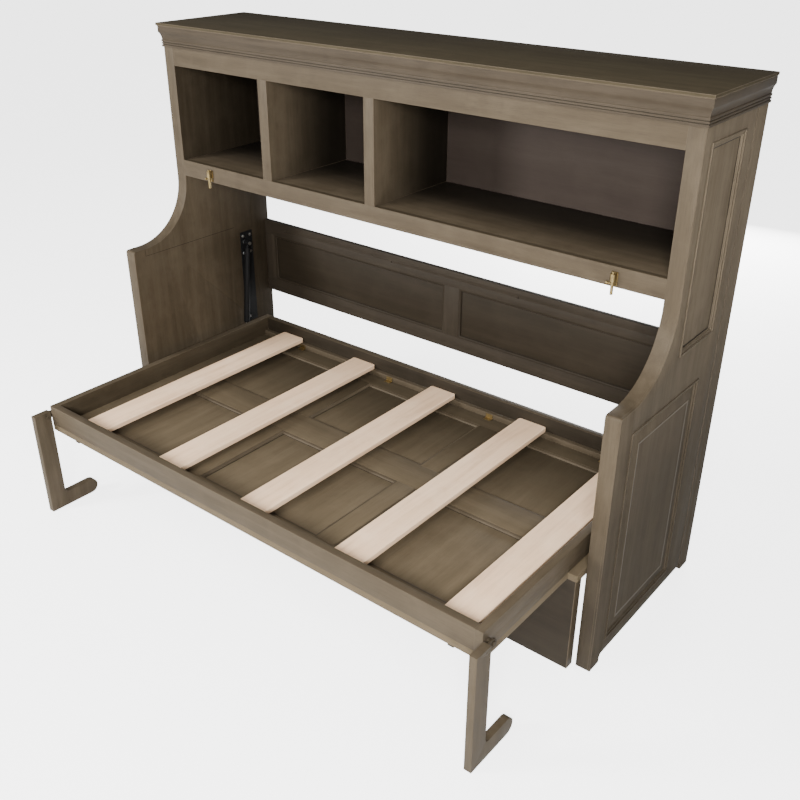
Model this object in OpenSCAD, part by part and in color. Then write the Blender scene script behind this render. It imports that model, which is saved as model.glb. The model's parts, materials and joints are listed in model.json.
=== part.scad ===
// Wall bed with a fixed hutch: the bed box tilts up on two side pivots, its front legs stay plumb,
// two gas springs carry part of the load and two barrel bolts hold it closed.
// Millimetres. +X is the right side seen from the room, -Y points into the room, +Z is up.
// Inside the modules x is counted from the left outer face and f is counted forward from the wall.

/* [Cabinet] */
// Width over the outer faces of the two sides
cabinet_width = 2150; // [2080:10:2200]
// Height from the floor to the top of the crown
overall_height = 1718; // [1715:1:1740]
// Depth of the sides below the curved step
lower_depth = 720; // [720:1:740]
// Depth of the hutch
upper_depth = 430; // [430:1:440]
// Height of the flat on the lower part of each side
lower_top = 906; // [880:1:920]
// Radius of the concave step between the two depths
step_radius = 230; // [200:5:250]
// Thickness of the core board of each side
core_thickness = 42; // [38:1:42]
// Thickness of the frame laid on the outside of each side
overlay_thickness = 8; // [6:1:8]
// Height of the open notch between the feet of each side
foot_notch = 30; // [20:1:40]

/* [Crown] */
// How far the top board stands out past the sides
crown_side = 15; // [10:1:20]
// How far the top board stands out past the front
crown_front = 18; // [10:1:24]
// Thickness of the top board
top_thickness = 12; // [10:1:18]
// Height of the cove below the top board
cove_height = 48; // [40:1:50]
// Height of the bead strip below the cove
bead_height = 25; // [20:1:30]
// How far the bead strip stands out
bead_proud = 5; // [3:1:6]

/* [Hutch] */
// Underside of the apron below the shelf
apron_bottom = 1150; // [1148:1:1160]
// Top of the hutch shelf
shelf_top = 1212; // [1205:1:1220]
// Underside of the fascia over the compartments
opening_top = 1568; // [1540:1:1580]
// Thickness of the shelf, back and ceiling boards
board = 18; // [16:1:18]
// Thickness of the apron and the fascia
fascia = 20; // [18:1:22]
// Thickness of each divider
divider_thickness = 44; // [36:1:48]
// Distance of the first divider's middle from the left outer face
divider_a = 520; // [480:1:560]
// Distance of the second divider's middle from the left outer face
divider_b = 1013.5; // [960:0.5:1060]

/* [Stretcher] */
// Underside of the back stretcher
stretcher_bottom = 545; // [520:1:560]
// Top of the back stretcher
stretcher_top = 870; // [860:1:880]
// Height of the stretcher's bottom rail
stretcher_low_rail = 57; // [50:1:70]
// Height of the stretcher's top rail
stretcher_top_rail = 62; // [50:1:70]
// Radius of the wall fixing holes
wall_hole_r = 3.5; // [3:0.5:4.5]
// Spacing of the four wall fixing holes
wall_hole_spacing = 600; // [400:50:640]

/* [Bed box] */
// Distance from the wall to the back of the lowered bed
bed_rear = 78; // [78:1:90]
// Distance from the wall to the front of the lowered bed
bed_front = 1208; // [1190:1:1208]
// Underside of the face panel
face_bottom = 345.5; // [345:0.5:350]
// Thickness of the face frame
face_thickness = 23.5; // [20:0.5:24]
// Top of the bed rails
rail_top = 447; // [440:1:447]
// Thickness of the bed rails
rail_thickness = 27; // [24:1:30]
// Gap between the face panel and each cabinet side
side_gap = 9; // [8:1:10]
// Overhang of the face panel past the bed rails
face_overhang = 32; // [30:1:34]
// Width of the face's end stiles
face_stile = 110; // [90:1:120]
// Width of the face's rear rail
face_rear_rail_width = 115; // [100:1:120]
// Width of the face's front rail
face_front_rail_width = 110; // [100:1:120]
// Width of the face's mullions
mullion_width = 76; // [60:1:90]
// Thickness of the recessed field panels
field_thickness = 8; // [6:1:10]

/* [Slats] */
// Number of slats
slat_count = 5; // [3:1:7]
// Spacing of the slats
slat_pitch = 414.8; // [380:0.1:430]
// Middle of the first slat
slat_first = 284; // [250:1:300]
// Width of a slat
slat_width = 116; // [90:1:120]
// Thickness of a slat
slat_thickness = 18; // [15:1:20]
// Height and depth of the ledger under the slats
ledger = 20; // [18:1:25]

/* [Desk board] */
// Front face of the board that stands under the lowered bed
desk_front = 755; // [755:1:758]
// Thickness of that board
desk_thickness = 35; // [25:1:35]

/* [Pivot] */
// Distance of the bed pivot from the wall
pivot_f = 422.5; // [422.5:0.5:423]
// Height of the bed pivot
pivot_z = 352.5; // [352:0.5:353]
// Radius of the pivot pin
pivot_pin_r = 6; // [5:0.5:7]
// Running clearance of every pin, on the radius
running_clearance = 0.06; // [0.02:0.01:0.1]

/* [Legs] */
// Width of a leg seen from the side
leg_width = 66; // [60:1:70]
// Thickness of a leg
leg_thickness = 25; // [20:1:25]
// Height of the top of a leg
leg_top = 421; // [415:1:421]
// Length of the foot bar from the front of the leg
foot_length = 209; // [180:1:209]
// Height of the foot bar
foot_height = 59; // [50:1:60]
// Distance of the leg pivot from the wall
leg_pivot_f = 1183; // [1180:1:1184]
// Height of the leg pivot
leg_pivot_z = 405; // [400:1:408]

/* [Gas spring] */
// Upper stud, distance from the wall
upper_stud_f = 148; // [148:1:149]
// Upper stud, height
upper_stud_z = 800; // [800:1:801]
// Lower stud of the lowered bed, distance from the wall
lower_stud_f = 190; // [190:1:191]
// Lower stud of the lowered bed, height
lower_stud_z = 405; // [405:1:406]
// Length of the cylinder from its eye
cylinder_length = 362; // [350:1:365]
// Radius of the cylinder
cylinder_r = 13; // [10:1:13]
// Radius of the piston rod
rod_r = 5; // [4:1:6]

/* [Barrel bolt] */
// Distance of each barrel bolt from the outer face of the cabinet
latch_x = 207; // [190:1:220]
// Distance of the rod's axis from the wall
latch_f = 442; // [442:1:443]
// Radius of the rod
latch_r = 4.5; // [4:0.5:5]
// Length of the rod below the apron at rest
latch_drop = 20; // [15:1:22]

/* [Hidden] */
$fn = 64;

painted = [0.51, 0.46, 0.40];
shaded = [0.42, 0.36, 0.29];
dark_panel = [0.30, 0.26, 0.23];
pale_wood = [0.85, 0.76, 0.70];
black_steel = [0.08, 0.08, 0.09];
bright_steel = [0.70, 0.70, 0.70];
brass = [0.61, 0.54, 0.31];

side_thickness = core_thickness + overlay_thickness;
inner_left = side_thickness;
inner_right = cabinet_width - side_thickness;
carcass_top = overall_height - top_thickness;
cove_bottom = carcass_top - cove_height;
bead_bottom = cove_bottom - bead_height;
face_top = face_bottom + face_thickness;
face_left = side_thickness + side_gap;
rail_left = face_left + face_overhang;
rail_inner = rail_left + rail_thickness;
relief_start = desk_front + 1;
leg_left_x = 63;
leg_gap = 1;
leg_rear = bed_front + leg_gap;
overall_depth = leg_rear + leg_width;
tongue_x = 73;
tongue_thickness = 5;
tongue_half = 14;
tongue_end = leg_rear + 31;
rest_length = norm([lower_stud_f - upper_stud_f, upper_stud_z - lower_stud_z]);
spring_tilt = atan2(lower_stud_f - upper_stud_f, upper_stud_z - lower_stud_z);
eye_r = 12;
spring_mid = 70;
stud_r = 5;
fit_gap = 0.1;

// A board between two x values, two distances from the wall and two heights
module block(x, f, z) {
  translate([x[0] - cabinet_width / 2, -f[1], z[0]])
    cube([x[1] - x[0], f[1] - f[0], z[1] - z[0]]);
}

// Moves the wall plane to the back of the overall box
module placed() {
  translate([0, overall_depth / 2, 0]) children();
}

// Draws a left-hand piece on the left, or its mirror image on the right
module handed(right) {
  mirror([right ? 1 : 0, 0, 0]) children();
}

// Both hands of a piece
module both() {
  handed(false) children();
  handed(true) children();
}

// A round bar along x
module x_bar(x, f, z, r) {
  translate([x[0] - cabinet_width / 2, -f, z]) rotate([0, 90, 0]) cylinder(h = x[1] - x[0], r = r);
}

// A round bar along f, from the wall side forward
module f_bar(x, f, z, r) {
  translate([x - cabinet_width / 2, -f[0], z]) rotate([90, 0, 0]) cylinder(h = f[1] - f[0], r = r);
}

// An outline drawn in f and z, given a thickness along x
module side_slab(x) {
  translate([x[0] - cabinet_width / 2, 0, 0]) rotate([90, 0, 90])
    linear_extrude(x[1] - x[0]) mirror([1, 0]) children();
}

// Local x runs forward, local y up and local z out of the left side's outer face
module on_left_face(f, z, out) {
  translate([-cabinet_width / 2 - out, -f, z]) rotate([90, 0, -90]) children();
}

// ---- cabinet sides ----

module side_outline() {
  corner = 10;
  foot = 58;
  difference() {
    union() {
      square([upper_depth, carcass_top]);
      square([lower_depth - corner, lower_top]);
      square([lower_depth, lower_top - corner]);
      translate([lower_depth - corner, lower_top - corner]) circle(corner);
      difference() {
        square([upper_depth + step_radius, lower_top + step_radius]);
        translate([upper_depth + step_radius, lower_top + step_radius]) circle(step_radius, $fn = 128);
      }
    }
    translate([foot, -1]) square([lower_depth - 2 * foot, foot_notch / 2 + 1]);
    translate([foot + foot_notch / 2, -1])
      square([lower_depth - 2 * foot - foot_notch, foot_notch + 1]);
    for (f = [foot + foot_notch / 2, lower_depth - foot - foot_notch / 2])
      translate([f, foot_notch / 2]) circle(foot_notch / 2);
  }
}

lower_window = [195, 77, 638, 827];
upper_window = [145, 967, 380, 1585];

module window(w) {
  translate([w[0], w[1]]) square([w[2] - w[0], w[3] - w[1]]);
}

bush_depth = 33;
bush_r = 10;
plate_bolts = [[118, 828], [158, 828], [118, 752], [158, 752], [149, 588], [149, 452]];
plate_bolt_r = 4;
plate_bolt_depth = 26;

module side_core() {
  difference() {
    side_slab([overlay_thickness, side_thickness]) side_outline();
    x_bar([side_thickness - bush_depth, side_thickness + 1], pivot_f, pivot_z, bush_r);
    for (b = plate_bolts)
      x_bar([side_thickness - plate_bolt_depth, side_thickness + 1], b[0], b[1], plate_bolt_r + fit_gap);
    x_bar([side_thickness - plate_bolt_depth, side_thickness + 1], upper_stud_f, upper_stud_z,
      stud_r + fit_gap);
  }
}

module side_overlay() {
  groove_f = 78;
  groove = 4;
  difference() {
    side_slab([0, overlay_thickness]) difference() {
      side_outline();
      window(lower_window);
      window(upper_window);
    }
    block([-1, 2], [groove_f, groove_f + groove], [-1, cove_bottom - bead_height]);
  }
}

module side_core_left() { color(painted) placed() handed(false) side_core(); }
module side_core_right() { color(painted) placed() handed(true) side_core(); }
module side_overlay_left() { color(painted) placed() handed(false) side_overlay(); }
module side_overlay_right() { color(painted) placed() handed(true) side_overlay(); }

// One side of a mitred frame: length along x, depth inward along y, height along z
module mitred_bar(length, width, height) {
  intersection() {
    rotate([90, 0, 90]) linear_extrude(length) children();
    linear_extrude(height)
      polygon([[0, 0], [length, 0], [length - width, width], [width, width]]);
  }
}

// Profile of the panel moulding: a fillet, a step and a hollow falling to the panel
module panel_profile() {
  difference() {
    union() {
      square([6, 11]);
      square([18, 7]);
    }
    translate([19, 8]) circle(5);
  }
}

module mitred_frame(w) {
  width = 18;
  height = 12;
  size = [w[2] - w[0], w[3] - w[1]];
  mitred_bar(size[0], width, height) panel_profile();
  translate([size[0], 0, 0]) rotate([0, 0, 90]) mitred_bar(size[1], width, height) panel_profile();
  translate([size[0], size[1], 0]) rotate([0, 0, 180]) mitred_bar(size[0], width, height) panel_profile();
  translate([0, size[1], 0]) rotate([0, 0, 270]) mitred_bar(size[1], width, height) panel_profile();
}

module side_moulding() {
  for (w = [lower_window, upper_window])
    on_left_face(w[0], w[1], -overlay_thickness) mitred_frame(w);
}

// Raised field of the lower panel, with a bevelled edge made of four mitred strips
module side_field() {
  edge = 35;
  inset = 20;
  height = 7;
  edge_height = 3;
  slope = 6.5;
  w = [lower_window[0] + inset, lower_window[1] + inset, lower_window[2] - inset, lower_window[3] - inset];
  size = [w[2] - w[0], w[3] - w[1]];
  on_left_face(w[0], w[1], -overlay_thickness) difference() {
    cube([size[0], size[1], height]);
    for (y = [0, size[1]])
      translate([-1, y, edge_height]) rotate([y > 0 ? -slope : slope, 0, 0])
        translate([0, -edge, 0]) cube([size[0] + 2, 2 * edge, 20]);
    for (x = [0, size[0]])
      translate([x, -1, edge_height]) rotate([0, x > 0 ? slope : -slope, 0])
        translate([-edge, 0, 0]) cube([2 * edge, size[1] + 2, 20]);
  }
}

module side_moulding_left() { color(painted) placed() handed(false) side_moulding(); }
module side_moulding_right() { color(painted) placed() handed(true) side_moulding(); }
module side_field_left() { color(painted) placed() handed(false) side_field(); }
module side_field_right() { color(painted) placed() handed(true) side_field(); }

// ---- crown ----

module top_board() {
  lip = 3;
  color(painted) placed() {
    block([-crown_side, cabinet_width + crown_side], [0, upper_depth + crown_front],
      [carcass_top + lip, overall_height]);
    block([-crown_side + lip, cabinet_width + crown_side - lip], [0, upper_depth + crown_front - lip],
      [carcass_top, carcass_top + lip]);
  }
}

// Cove profile: u stands out from the face, v goes up
module cove_profile() {
  reach = crown_side - 3;
  difference() {
    square([reach, cove_height]);
    translate([cove_height + 2, 0]) circle(cove_height - 1, $fn = 96);
  }
}

// Three flat reeds parted by two narrow grooves
module bead_profile() {
  groove = [3, 3];
  difference() {
    square([bead_proud, bead_height]);
    for (v = [bead_height * 0.28, bead_height * 0.6])
      translate([bead_proud - groove[1], v]) square([groove[1] + 1, groove[0]]);
  }
}

// A moulding round the left side, the front and the right side, mitred at the two corners
module wrapped(z, reach) {
  front = upper_depth + reach;
  for (right = [false, true])
    handed(right) intersection() {
      translate([-cabinet_width / 2, 0, z]) rotate([90, 0, 0]) linear_extrude(front)
        mirror([1, 0]) children();
      translate([-cabinet_width / 2, 0, z - 1]) linear_extrude(100)
        polygon([[0, 0], [-reach, 0], [-reach, -front], [0, -upper_depth]]);
    }
  intersection() {
    translate([-cabinet_width / 2 - reach, -upper_depth, z]) rotate([90, 0, 90])
      linear_extrude(cabinet_width + 2 * reach) mirror([1, 0]) children();
    translate([-cabinet_width / 2, -upper_depth, z - 1]) linear_extrude(100)
      polygon([[0, 0], [-reach, -reach], [cabinet_width + reach, -reach], [cabinet_width, 0]]);
  }
}

module crown_cove() {
  color(painted) placed() wrapped(cove_bottom, crown_side - 3) cove_profile();
}

module bead_strip() {
  color(painted) placed() wrapped(bead_bottom, bead_proud) bead_profile();
}

// ---- hutch ----

inner_x = [inner_left, inner_right];
fascia_rear = upper_depth - fascia;

module hutch_fascia() {
  color(painted) placed() block(inner_x, [fascia_rear, upper_depth], [opening_top, carcass_top]);
}

module hutch_ceiling() {
  color(shaded) placed() block(inner_x, [board, fascia_rear], [opening_top, opening_top + board]);
}

module hutch_back() {
  color(dark_panel) placed() block(inner_x, [0, board], [shelf_top - board, carcass_top]);
}

module hutch_shelf() {
  color(shaded) placed() block(inner_x, [board, fascia_rear], [shelf_top - board, shelf_top]);
}

latch_screw_x = [for (x = [latch_x, cabinet_width - latch_x], side = [-1, 1]) x + 6 * side];

module shelf_apron() {
  color(painted) placed() difference() {
    block(inner_x, [fascia_rear, upper_depth], [apron_bottom, shelf_top]);
    for (x = latch_screw_x)
      f_bar(x, [upper_depth - latch_screw_depth, upper_depth + 1], latch_screw_z, latch_screw_r + fit_gap);
  }
}

module hutch_dividers() {
  half = divider_thickness / 2;
  color(painted) placed()
    for (x = [divider_a, divider_b])
      block([x - half, x + half], [board, upper_depth], [shelf_top, opening_top]);
}

// ---- back stretcher ----

stretcher_f = [0, 20];
end_stile = 55;
centre_stile = 70;

module stretcher_top_rail() {
  z = [stretcher_top - stretcher_top_rail, stretcher_top];
  color(painted) placed() difference() {
    block(inner_x, stretcher_f, z);
    for (i = [-1.5 : 1 : 1.5])
      f_bar(cabinet_width / 2 + i * wall_hole_spacing, [-1, 21], (z[0] + z[1]) / 2, wall_hole_r);
  }
}

module stretcher_low_rail() {
  color(painted) placed()
    block(inner_x, stretcher_f, [stretcher_bottom, stretcher_bottom + stretcher_low_rail]);
}

stretcher_inner_z = [stretcher_bottom + stretcher_low_rail, stretcher_top - stretcher_top_rail];

module stretcher_stiles() {
  middle = cabinet_width / 2;
  color(painted) placed() {
    block([inner_left, inner_left + end_stile], stretcher_f, stretcher_inner_z);
    block([middle - centre_stile / 2, middle + centre_stile / 2], stretcher_f, stretcher_inner_z);
    block([inner_right - end_stile, inner_right], stretcher_f, stretcher_inner_z);
  }
}

module stretcher_panels() {
  color(shaded) placed() both()
    block([inner_left + end_stile, (cabinet_width - centre_stile) / 2], [3, 12], stretcher_inner_z);
}

// ---- steel on the cabinet sides ----

bush_flange = 2.5;

module pivot_bush() {
  difference() {
    union() {
      x_bar([side_thickness - bush_depth, side_thickness], pivot_f, pivot_z, bush_r);
      x_bar([side_thickness, side_thickness + bush_flange], pivot_f, pivot_z, bush_r + 7);
    }
    x_bar([side_thickness - bush_depth - 1, side_thickness + bush_flange + 1], pivot_f, pivot_z,
      pivot_pin_r + running_clearance);
  }
}

module pivot_bush_left() { color(brass) placed() handed(false) pivot_bush(); }
module pivot_bush_right() { color(brass) placed() handed(true) pivot_bush(); }

plate_thickness = 3;

module spring_plates() {
  edge = 14;
  f = [plate_bolts[0][0] - edge, plate_bolts[1][0] + edge - 2];
  z = [plate_bolts[5][1] - edge - 8, plate_bolts[0][1] + edge + 3];
  color(black_steel) placed() both() difference() {
    block([side_thickness, side_thickness + plate_thickness], f, z);
    for (b = plate_bolts)
      x_bar([side_thickness - 1, side_thickness + 5], b[0], b[1], plate_bolt_r + fit_gap);
    x_bar([side_thickness - 1, side_thickness + 5], upper_stud_f, upper_stud_z, stud_r + fit_gap);
  }
}

module spring_plate_bolts() {
  seat = side_thickness + plate_thickness;
  color(bright_steel) placed() both()
    for (b = plate_bolts) {
      x_bar([side_thickness - plate_bolt_depth + 1, seat], b[0], b[1], plate_bolt_r);
      x_bar([seat, seat + 2], b[0], b[1], 7);
      x_bar([seat + 2, seat + 3], b[0], b[1], 5);
    }
}

module upper_studs() {
  seat = side_thickness + plate_thickness;
  collar = 3;
  head = [spring_mid + 12, spring_mid + 16];
  color(bright_steel) placed() both() {
    x_bar([side_thickness - plate_bolt_depth + 1, head[0]], upper_stud_f, upper_stud_z, stud_r);
    x_bar([seat, seat + collar], upper_stud_f, upper_stud_z, 2 * stud_r);
    x_bar(head, upper_stud_f, upper_stud_z, stud_r + 3);
  }
}

// ---- barrel bolts ----

latch_screw_z = apron_bottom + 8;
latch_screw_r = 1.5;
latch_screw_depth = 14;
latch_plate = [apron_bottom + 3, apron_bottom + 47];
latch_plate_thickness = 2;
barrel_z = [apron_bottom + 20, apron_bottom + 44];
knob_z = apron_bottom + 13;

module latch_plates() {
  half_width = 10;
  barrel_r = 8;
  face = upper_depth + latch_plate_thickness;
  color(brass) placed() both() difference() {
    union() {
      block([latch_x - half_width, latch_x + half_width], [upper_depth, face], latch_plate);
      block([latch_x - barrel_r, latch_x + barrel_r], [face, latch_f], barrel_z);
      translate([latch_x - cabinet_width / 2, -latch_f, barrel_z[0]])
        cylinder(h = barrel_z[1] - barrel_z[0], r = barrel_r);
    }
    translate([latch_x - cabinet_width / 2, -latch_f, apron_bottom])
      cylinder(h = 80, r = latch_r + running_clearance);
    for (i = [0, 1])
      f_bar(latch_screw_x[i], [upper_depth - 1, face + 1], latch_screw_z, latch_screw_r + fit_gap);
  }
}

module latch_screws() {
  face = upper_depth + latch_plate_thickness;
  head = 1.2;
  color(brass) placed()
    for (x = latch_screw_x) {
      f_bar(x, [upper_depth - latch_screw_depth + 1, face], latch_screw_z, latch_screw_r);
      f_bar(x, [face, face + head], latch_screw_z, 2 * latch_screw_r);
    }
}

module latch_bolt() {
  top = barrel_z[1] + 6;
  knob_x = latch_x - 13;
  knob_length = 7;
  color(brass) placed() {
    translate([latch_x - cabinet_width / 2, -latch_f, apron_bottom - latch_drop])
      cylinder(h = top - apron_bottom + latch_drop, r = latch_r);
    x_bar([knob_x, latch_x], latch_f, knob_z, 2.5);
    x_bar([knob_x - knob_length, knob_x], latch_f, knob_z, 5);
  }
}

module latch_bolt_left() { latch_bolt(); }
module latch_bolt_right() {
  translate([cabinet_width - 2 * latch_x, 0, 0]) latch_bolt();
}

// ---- bed box ----

leg_pin_depth = 14;
leg_pin_r = 4;

module bed_rail_side() {
  difference() {
    block([rail_left, rail_inner], [bed_rear, bed_front], [face_top, rail_top]);
    x_bar([rail_left - 1, rail_left + leg_pin_depth], leg_pivot_f, leg_pivot_z, leg_pin_r);
  }
}

module bed_rail_left() { color(painted) placed() handed(false) bed_rail_side(); }
module bed_rail_right() { color(painted) placed() handed(true) bed_rail_side(); }

rail_span = [rail_inner, cabinet_width - rail_inner];

module bed_rail_front() {
  color(painted) placed() block(rail_span, [bed_front - rail_thickness, bed_front], [face_top, rail_top]);
}

module bed_rail_rear() {
  color(painted) placed() block(rail_span, [bed_rear, bed_rear + rail_thickness], [face_top, rail_top]);
}

face_z = [face_bottom, face_top];
stile_inner = face_left + face_stile;

module face_stile_side() {
  block([face_left, stile_inner], [bed_rear, relief_start], face_z);
  block([rail_left, stile_inner], [relief_start, bed_front], face_z);
}

module face_stile_left() { color(painted) placed() handed(false) face_stile_side(); }
module face_stile_right() { color(painted) placed() handed(true) face_stile_side(); }

face_span = [stile_inner, cabinet_width - stile_inner];
mid_rail = [560, 690];
row_rear = [bed_rear + face_rear_rail_width, mid_rail[0]];
row_front = [mid_rail[1], bed_front - face_front_rail_width];
mullion_spacing = 628;
mullion_x = [for (side = [-1, 1]) (cabinet_width + side * mullion_spacing) / 2];

module face_rails() {
  color(painted) placed() {
    block(face_span, [bed_rear, row_rear[0]], face_z);
    block(face_span, mid_rail, face_z);
    block(face_span, [row_front[1], bed_front], face_z);
  }
}

module face_mullions() {
  color(painted) placed()
    for (row = [row_rear, row_front])
      for (x = mullion_x)
        block([x - mullion_width / 2, x + mullion_width / 2], row, face_z);
}

module face_fields() {
  low = face_bottom + 6;
  half = mullion_width / 2;
  edges = [face_span[0], mullion_x[0] - half, mullion_x[0] + half,
    mullion_x[1] - half, mullion_x[1] + half, face_span[1]];
  color(shaded) placed()
    for (row = [row_rear, row_front])
      for (i = [0, 2, 4])
        block([edges[i], edges[i + 1]], row, [low, low + field_thickness]);
}

ledger_rear = [bed_rear + rail_thickness, bed_rear + rail_thickness + ledger];
ledger_front = [bed_front - rail_thickness - ledger, bed_front - rail_thickness];

module slat_ledgers() {
  color(painted) placed()
    for (f = [ledger_rear, ledger_front])
      block(rail_span, f, [face_top, face_top + ledger]);
}

module slats() {
  corner = 8;
  end_gap = 1;
  f = [ledger_rear[0] + end_gap, ledger_front[1] - end_gap];
  color(pale_wood) placed()
    for (i = [0 : slat_count - 1])
      translate([slat_first + i * slat_pitch - cabinet_width / 2, 0, face_top + ledger])
        linear_extrude(slat_thickness) union() {
          translate([-slat_width / 2, -f[1] + corner]) square([slat_width, f[1] - f[0] - 2 * corner]);
          translate([-slat_width / 2 + corner, -f[1]]) square([slat_width - 2 * corner, f[1] - f[0]]);
          for (x = [-1, 1])
            for (y = [-f[1] + corner, -f[0] - corner])
              translate([x * (slat_width / 2 - corner), y]) circle(corner);
        }
}

bracket_x = [356, 850, 1346, 1840];

module corner_brackets() {
  leg = 18;
  sheet = 2;
  width = 30;
  color(brass) placed()
    for (x = bracket_x) {
      side = [x - width / 2, x + width / 2];
      block(side, [ledger_rear[1], ledger_rear[1] + leg], [face_top, face_top + sheet]);
      block(side, [ledger_rear[1], ledger_rear[1] + sheet], [face_top + sheet, face_top + leg]);
    }
}

module desk_board() {
  color(painted) placed()
    block([face_left + 4, cabinet_width - face_left - 4], [desk_front - desk_thickness, desk_front],
      [0, face_bottom]);
}

module desk_cleats() {
  cleat = 25;
  length = 400;
  spacing = 700;
  rear = desk_front - desk_thickness;
  color(painted) placed()
    for (i = [-1 : 1]) {
      x = cabinet_width / 2 + i * spacing;
      block([x - length / 2, x + length / 2], [rear - cleat, rear], [face_bottom - cleat, face_bottom]);
    }
}

// ---- steel on the bed ----

arm_x = side_thickness + 3;
arm_plate = 4;
arm_pin_r = 4;

module pivot_arm() {
  web_z = [face_top + 3, face_top + 9];
  drop_r = 22;
  half_length = 60.5;
  difference() {
    union() {
      block([rail_left - arm_plate, rail_left], [pivot_f - half_length, pivot_f + half_length],
        [web_z[0], rail_top - 7]);
      block([arm_x, rail_left - arm_plate], [pivot_f - drop_r, pivot_f + drop_r], web_z);
      block([arm_x, arm_x + arm_plate], [pivot_f - drop_r, pivot_f + drop_r], [pivot_z, web_z[0]]);
      x_bar([arm_x, arm_x + arm_plate], pivot_f, pivot_z, drop_r);
    }
    x_bar([arm_x - 1, arm_x + arm_plate + 1], pivot_f, pivot_z, arm_pin_r + fit_gap);
  }
}

module pivot_arm_left() { color(black_steel) placed() handed(false) pivot_arm(); }
module pivot_arm_right() { color(black_steel) placed() handed(true) pivot_arm(); }

module pivot_pins() {
  color(bright_steel) placed() both() {
    x_bar([side_thickness - bush_depth + 2, arm_x], pivot_f, pivot_z, pivot_pin_r);
    x_bar([arm_x, arm_x + arm_plate + 1], pivot_f, pivot_z, arm_pin_r);
  }
}

module lower_stud_bosses() {
  plate = 2;
  plate_half = [35, 16];
  boss = 4;
  seat = rail_left - plate;
  color(black_steel) placed() both() {
    x_bar([seat - boss, seat], lower_stud_f, lower_stud_z, 9);
    block([seat, rail_left], [lower_stud_f - plate_half[0], lower_stud_f + plate_half[0]],
      [lower_stud_z - plate_half[1], lower_stud_z + plate_half[1]]);
  }
}

module leg_pins() {
  play = 1;
  head = 3.5;
  head_x = tongue_x - play;
  collar_x = tongue_x + tongue_thickness + play;
  color(painted) placed() both() {
    x_bar([head_x - head, head_x], leg_pivot_f, leg_pivot_z, 2 * leg_pin_r);
    x_bar([head_x, rail_left + leg_pin_depth], leg_pivot_f, leg_pivot_z, leg_pin_r);
    x_bar([collar_x, rail_left], leg_pivot_f, leg_pivot_z, 2 * leg_pin_r + 1);
  }
}

module keepers() {
  middle = 1181;
  plate = 2.5;
  hole_z = pivot_f + pivot_z - latch_f;
  color(black_steel) placed() both() difference() {
    union() {
      block([latch_x - 20, latch_x + 20], [middle - 17, middle + 17], [face_bottom - plate, face_bottom]);
      block([latch_x - 10, latch_x + 10], [middle - 9, middle + 9], [hole_z - 12, face_bottom - plate]);
    }
    f_bar(latch_x, [middle - 20, middle + 20], hole_z, latch_r + 0.75);
  }
}

// ---- legs ----

leg_x = [leg_left_x, leg_left_x + leg_thickness];

module leg_outline() {
  front = leg_rear + leg_width;
  toe = foot_height / 2;
  inner = 18;
  difference() {
    union() {
      translate([leg_rear, 0]) square([leg_width, leg_top]);
      translate([front - foot_length + toe, 0]) square([foot_length - toe, foot_height]);
      translate([front - foot_length + toe, toe]) circle(toe);
      translate([leg_rear - inner, foot_height - 1]) square([inner + 1, inner + 1]);
    }
    translate([leg_rear - inner, foot_height + inner]) circle(inner);
  }
}

leg_bolt_r = 2.5;
leg_bolt_spots = [[leg_rear + 12, leg_pivot_z - 6], [leg_rear + 22, leg_pivot_z + 6]];

module leg() {
  difference() {
    side_slab(leg_x) leg_outline();
    block([tongue_x, tongue_x + tongue_thickness], [leg_rear - 1, tongue_end],
      [leg_pivot_z - tongue_half, leg_pivot_z + tongue_half]);
    for (b = leg_bolt_spots)
      x_bar([leg_x[0] - 1, leg_x[1] + 1], b[0], b[1], leg_bolt_r + fit_gap);
  }
}

module leg_tongue() {
  difference() {
    union() {
      block([tongue_x, tongue_x + tongue_thickness], [leg_pivot_f, tongue_end],
        [leg_pivot_z - tongue_half, leg_pivot_z + tongue_half]);
      x_bar([tongue_x, tongue_x + tongue_thickness], leg_pivot_f, leg_pivot_z, tongue_half);
    }
    x_bar([tongue_x - 1, tongue_x + tongue_thickness + 1], leg_pivot_f, leg_pivot_z,
      leg_pin_r + running_clearance);
    for (b = leg_bolt_spots)
      x_bar([tongue_x - 1, tongue_x + tongue_thickness + 1], b[0], b[1], leg_bolt_r + fit_gap);
  }
}

module leg_bolts() {
  for (b = leg_bolt_spots) {
    x_bar([leg_x[0], leg_x[1]], b[0], b[1], leg_bolt_r);
    x_bar([leg_x[1], leg_x[1] + 2], b[0], b[1], 2 * leg_bolt_r);
  }
}

module leg_left() { color(painted) placed() handed(false) leg(); }
module leg_right() { color(painted) placed() handed(true) leg(); }
module leg_tongue_left() { color(painted) placed() handed(false) leg_tongue(); }
module leg_tongue_right() { color(painted) placed() handed(true) leg_tongue(); }
module leg_bolts_left() { color(painted) placed() handed(false) leg_bolts(); }
module leg_bolts_right() { color(painted) placed() handed(true) leg_bolts(); }

// ---- gas springs ----

rod_gap = 0.3;

// Local z runs up from the lower stud toward the upper stud, local x is the cabinet's x
module along_spring() {
  translate([spring_mid - cabinet_width / 2, -upper_stud_f, upper_stud_z])
    rotate([-spring_tilt, 0, 0]) children();
}

module local_eye(length, r) {
  rotate([0, 90, 0]) translate([0, 0, -length / 2]) cylinder(h = length, r = r);
}

module spring_cylinder() {
  eye_length = 20;
  neck = 22;
  bore = cylinder_length - neck - 2;
  along_spring() difference() {
    union() {
      local_eye(eye_length, eye_r);
      translate([0, 0, -neck - 2]) cylinder(h = neck - 2, r = 7);
      translate([0, 0, -cylinder_length]) cylinder(h = cylinder_length - neck, r = cylinder_r);
    }
    local_eye(eye_length + 2, stud_r + running_clearance);
    translate([0, 0, -cylinder_length - 1]) cylinder(h = bore, r = rod_r + rod_gap);
  }
}

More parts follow.
